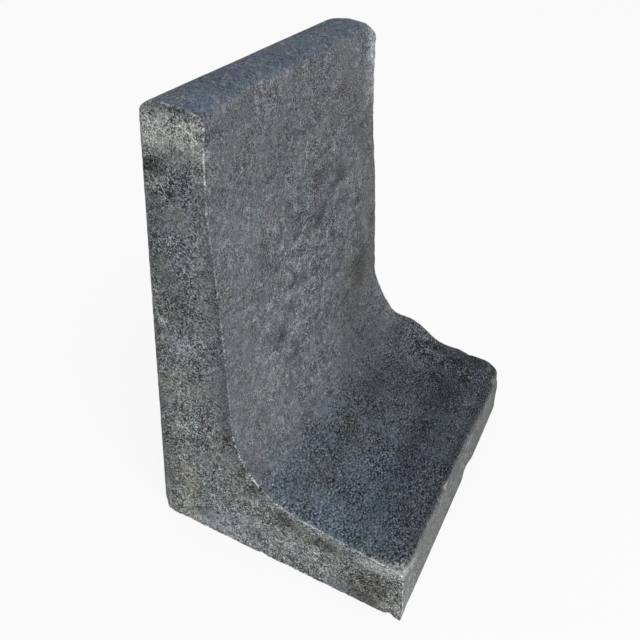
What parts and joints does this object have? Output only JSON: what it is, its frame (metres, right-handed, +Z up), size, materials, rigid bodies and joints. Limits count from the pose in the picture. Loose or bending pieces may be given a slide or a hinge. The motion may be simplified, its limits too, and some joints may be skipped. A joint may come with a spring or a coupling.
{
  "type": "concrete l-block",
  "caption": "L-shaped retaining block of dry-cast dark concrete: a tapering upright leg on a foot, with a wide inner radius and rounded top.",
  "frame": {"origin": "centre of the footprint, on the ground the block stands on", "axes": "+Z up, X along the wall the block belongs to (its end faces look along -X and +X), +Y out of the back face, -Y out of the toe"},
  "size_m": [0.3, 0.24, 0.4],
  "materials": {
    "dry_cast_concrete": "matte"
  },
  "bodies": {
    "root": {"l_block": "dry_cast_concrete"}
  },
  "joints": []
}
